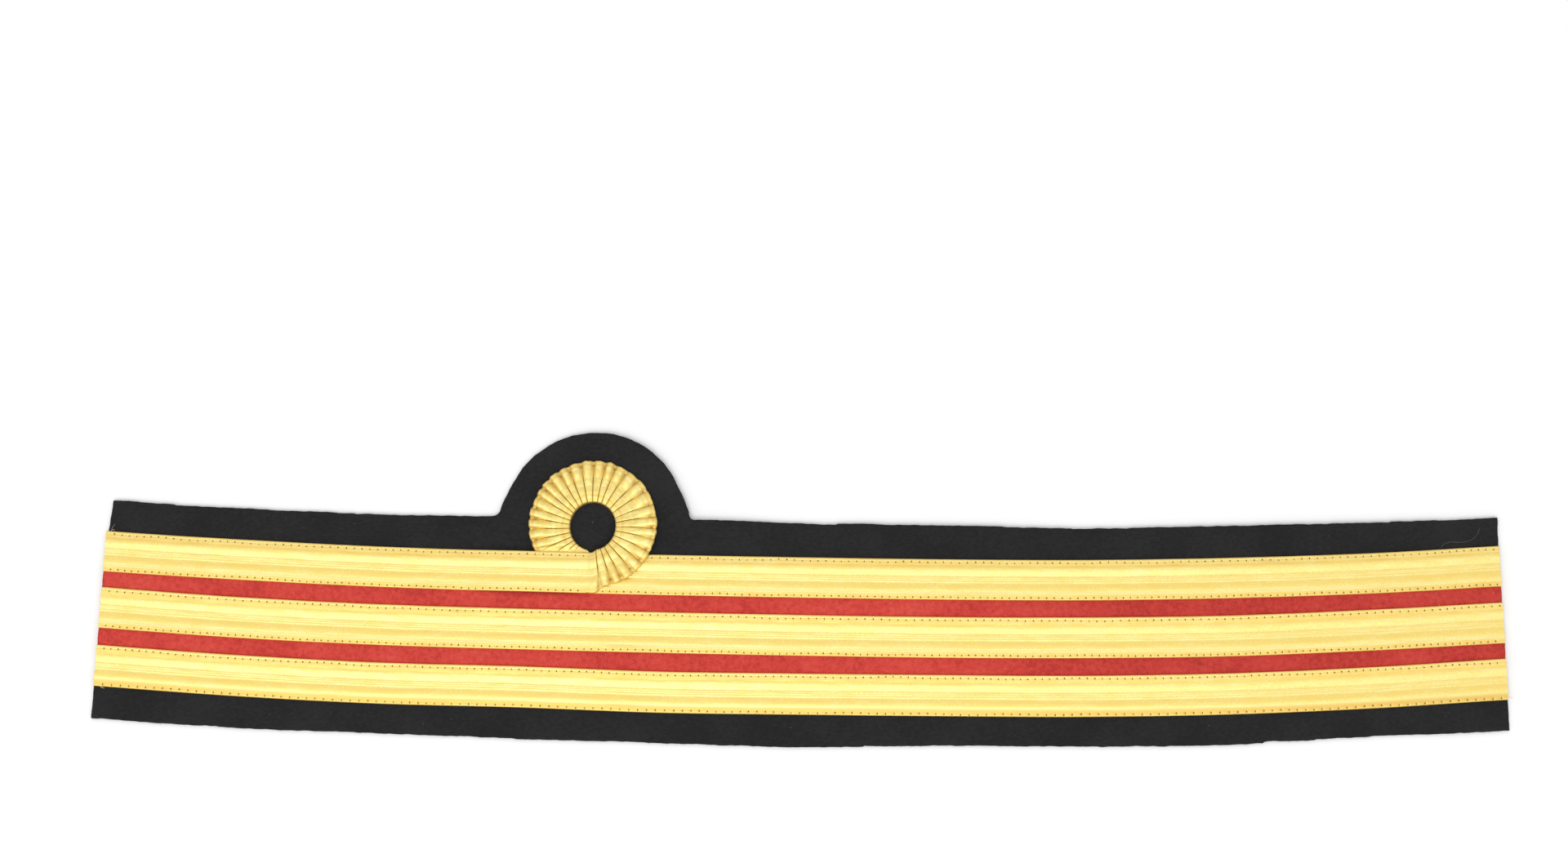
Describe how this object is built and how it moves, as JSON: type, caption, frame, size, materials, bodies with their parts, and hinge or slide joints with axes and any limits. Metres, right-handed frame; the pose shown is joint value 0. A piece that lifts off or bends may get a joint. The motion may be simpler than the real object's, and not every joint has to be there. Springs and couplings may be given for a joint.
{
  "type": "cuff rank insignia",
  "caption": "Cuff rank insignia of gold lace stripes with scarlet cloth between them and a pleated round curl, on black cloth.",
  "frame": {"origin": "middle of the footprint, on the underside that lies against the sleeve", "axes": "+X along the strip, to the right as seen from the face; +Y across it, towards the hump and its curl; +Z out of the face"},
  "size_m": [0.4988, 0.111, 0.0047],
  "materials": {
    "black_cloth": "matt fulled wool cloth with a fine nap and raw cut edges",
    "scarlet_cloth": "matt felted wool with a mottled nap",
    "gold_lace": "woven metallic thread with a satin shine, ribbed along its length"
  },
  "bodies": {
    "root": {"backing_cloth": "black_cloth", "scarlet_strip_upper": "scarlet_cloth", "scarlet_strip_lower": "scarlet_cloth", "lace_lower": "gold_lace", "lace_middle": "gold_lace", "lace_upper_with_curl": "gold_lace"}
  },
  "joints": []
}
